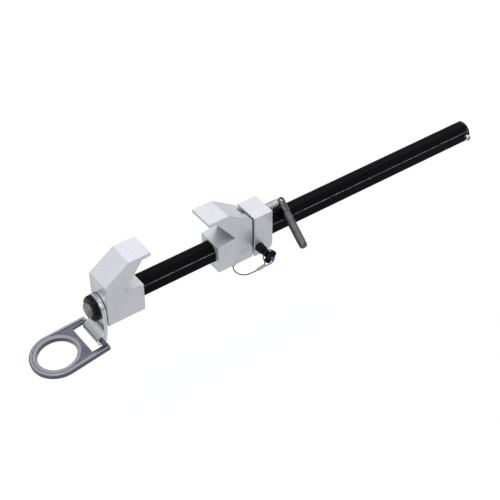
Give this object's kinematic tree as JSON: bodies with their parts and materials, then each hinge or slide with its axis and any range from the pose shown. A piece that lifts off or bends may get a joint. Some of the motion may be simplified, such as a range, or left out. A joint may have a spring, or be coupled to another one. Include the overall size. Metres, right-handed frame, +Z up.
{
  "type": "beam flange clamp anchor",
  "caption": "Adjustable beam-flange clamp: octagonal bar with a fixed jaw and swivelling D-ring, and a sliding jaw with locking block, clamp screw, lever and quick-release pin.",
  "frame": {"origin": "seat line of the fixed jaw, where the flange edge rests, at the middle of the jaw's width", "axes": "+X along the bar from the fixed jaw to its free end, +Y across the jaws, +Z up, away from the bar's underside"},
  "size_m": [0.7044, 0.0931, 0.1188],
  "materials": {
    "black_anodised": "glossy black anodised",
    "black_plastic": "satin",
    "plated_steel": "zinc plated",
    "polished_aluminium": "machined and polished",
    "stud_steel": "turned",
    "black_nut": "black oxide",
    "strap_steel": "satin",
    "ring_steel": "blue-grey plated forging",
    "stainless": "satin",
    "black_pin": "black oxide",
    "lanyard_wire": "stranded wire",
    "ferrule": "crimped",
    "blue_button": "anodised blue"
  },
  "bodies": {
    "bar_assembly": {"bar": "black_anodised", "bar_end_cap": "black_plastic", "stop_bolt": "plated_steel", "stop_nut": "plated_steel", "fixed_jaw": "polished_aluminium", "swivel_stud": "stud_steel", "swivel_nut": "black_nut", "swivel_washer": "plated_steel", "thrust_washer": "black_plastic"},
    "strap": {"swivel_strap": "strap_steel"},
    "ring": {"d_ring": "ring_steel"},
    "block": {"lock_block": "polished_aluminium", "screw_bush": "plated_steel"},
    "sliding_jaw": {"moving_jaw": "polished_aluminium", "lanyard_anchor": "stainless"},
    "screw": {"clamp_screw": "stainless", "lever_pin": "stainless"},
    "lever": {"lever_fork": "stainless", "lever_grip": "stainless"},
    "lock_pin": {"lock_pin_shank": "stainless", "lock_pin_collar": "black_pin", "lock_pin_handle": "black_pin", "lanyard_loop": "lanyard_wire", "lanyard_ferrule": "ferrule", "lanyard_wire": "lanyard_wire"},
    "button": {"push_button": "blue_button", "pin_spindle": "stainless"},
    "ball_rear": {"locking_ball_rear": "stainless"},
    "ball_front": {"locking_ball_front": "stainless"}
  },
  "joints": [
    {"name": "strap_swivel", "type": "hinge", "parent": "bar_assembly", "child": "strap", "pos_m": [-0.0298, 0, -0.022], "axis": [1, 0, 0], "continuous": true},
    {"name": "ring_fold", "type": "hinge", "parent": "strap", "child": "ring", "pos_m": [-0.037, -0.0012, -0.064], "axis": [0, 1, 0], "range_deg": [-84, 78]},
    {"name": "block_slide", "type": "slide", "parent": "bar_assembly", "child": "block", "axis": [1, 0, 0], "range_m": [-0.081, 0.34]},
    {"name": "jaw_feed", "type": "slide", "parent": "block", "child": "sliding_jaw", "axis": [1, 0, 0], "range_m": [-0.00116, 0.00001]},
    {"name": "screw_spin", "type": "hinge", "parent": "sliding_jaw", "child": "screw", "pos_m": [0.215, 0.002, 0.0053], "axis": [1, 0, 0], "range_deg": [-235, 0]},
    {"name": "lever_fold", "type": "hinge", "parent": "screw", "child": "lever", "pos_m": [0.25, 0.002, 0.0053], "axis": [0, -0.5, 0.866], "range_deg": [0, 95]},
    {"name": "pin_slide", "type": "slide", "parent": "block", "child": "lock_pin", "axis": [0, -1, 0], "range_m": [0, 0.046]},
    {"name": "button_press", "type": "slide", "parent": "lock_pin", "child": "button", "axis": [0, 1, 0], "range_m": [0, 0.0022], "stiffness_N_per_m": 400, "springref_m": -0.002},
    {"name": "ball_rear_in", "type": "slide", "parent": "lock_pin", "child": "ball_rear", "axis": [-1, 0, 0], "range_m": [0, 0.00087]},
    {"name": "ball_front_in", "type": "slide", "parent": "lock_pin", "child": "ball_front", "axis": [1, 0, 0], "range_m": [0, 0.00087]}
  ],
  "couplings": [
    {"joint": "jaw_feed", "follows": "screw_spin", "m_per_rad": 0.00027852},
    {"joint": "ball_rear_in", "follows": "button_press", "ratio": 0.39},
    {"joint": "ball_front_in", "follows": "button_press", "ratio": 0.39}
  ]
}
